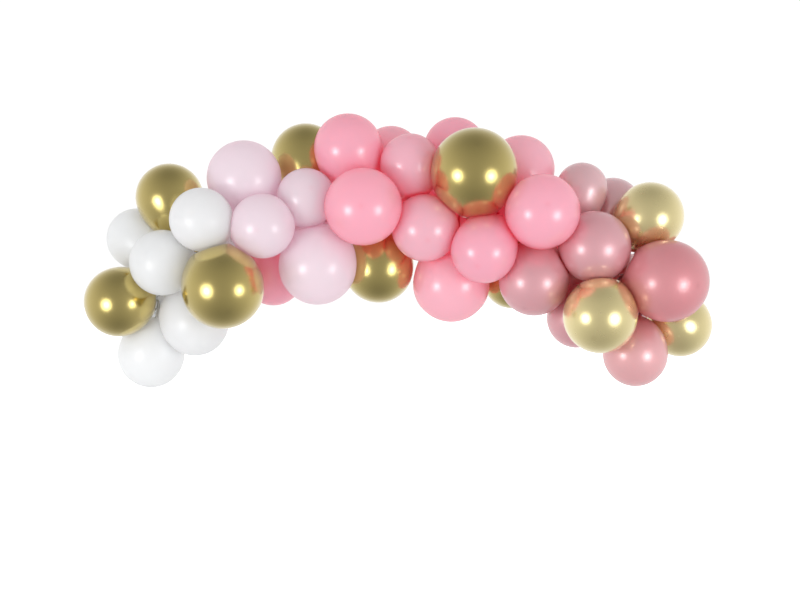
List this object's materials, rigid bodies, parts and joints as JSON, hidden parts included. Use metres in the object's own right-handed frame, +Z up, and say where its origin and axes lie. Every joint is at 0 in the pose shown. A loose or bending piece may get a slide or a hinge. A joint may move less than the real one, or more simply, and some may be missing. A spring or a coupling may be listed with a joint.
{
  "type": "balloon garland",
  "caption": "Arched garland of round latex balloons in white, pinks, dusty rose and metallic gold, each knotted through a hole of a flat clear strip; hung from the strip.",
  "frame": {"origin": "on the upper face of the strip at the crown of the arch, midway between two holes, where the garland is hung", "axes": "+X to the right along the garland, -Y towards the viewer, +Z up"},
  "size_m": [2.0062, 0.5708, 0.867],
  "materials": {
    "white": "matte white latex skin, blown tight",
    "pale_pink": "soft gloss pale pink latex skin",
    "pink": "gloss candy pink latex skin",
    "dusty_pink": "pearl dusty pink latex skin",
    "rose": "pearl rose latex skin",
    "gold": "mirror-like metallic gold latex skin",
    "pale_gold": "satin metallic pale gold latex skin",
    "strip": "clear glossy plastic tape with punched holes"
  },
  "bodies": {
    "root": {"decorating_strip": "strip", "balloon_white_01": "white", "balloon_white_02": "white", "balloon_gold_01": "gold", "balloon_white_03": "white", "balloon_white_04": "white", "balloon_white_05": "white", "balloon_gold_02": "gold", "balloon_white_06": "white", "balloon_gold_03": "gold", "balloon_white_07": "white", "balloon_pale_pink_01": "pale_pink", "balloon_pale_pink_02": "pale_pink", "balloon_pink_01": "pink", "balloon_pale_pink_03": "pale_pink", "balloon_pale_pink_04": "pale_pink", "balloon_gold_04": "gold", "balloon_pale_pink_05": "pale_pink", "balloon_pale_pink_06": "pale_pink", "balloon_pink_02": "pink", "balloon_pink_03": "pink", "balloon_pink_04": "pink", "balloon_gold_05": "gold", "balloon_pink_05": "pink", "balloon_pink_06": "pink", "balloon_pink_07": "pink", "balloon_pink_08": "pink", "balloon_pink_09": "pink", "balloon_pink_10": "pink", "balloon_gold_06": "gold", "balloon_pink_11": "pink", "balloon_pink_12": "pink", "balloon_pink_13": "pink", "balloon_gold_07": "gold", "balloon_pink_14": "pink", "balloon_pink_15": "pink", "balloon_dusty_pink_01": "dusty_pink", "balloon_dusty_pink_02": "dusty_pink", "balloon_dusty_pink_03": "dusty_pink", "balloon_dusty_pink_04": "dusty_pink", "balloon_dusty_pink_05": "dusty_pink", "balloon_pale_gold_01": "pale_gold", "balloon_dusty_pink_06": "dusty_pink", "balloon_pale_gold_02": "pale_gold", "balloon_rose_01": "rose", "balloon_rose_02": "rose", "balloon_rose_03": "rose", "balloon_pale_gold_03": "pale_gold", "balloon_rose_04": "rose"}
  },
  "joints": []
}
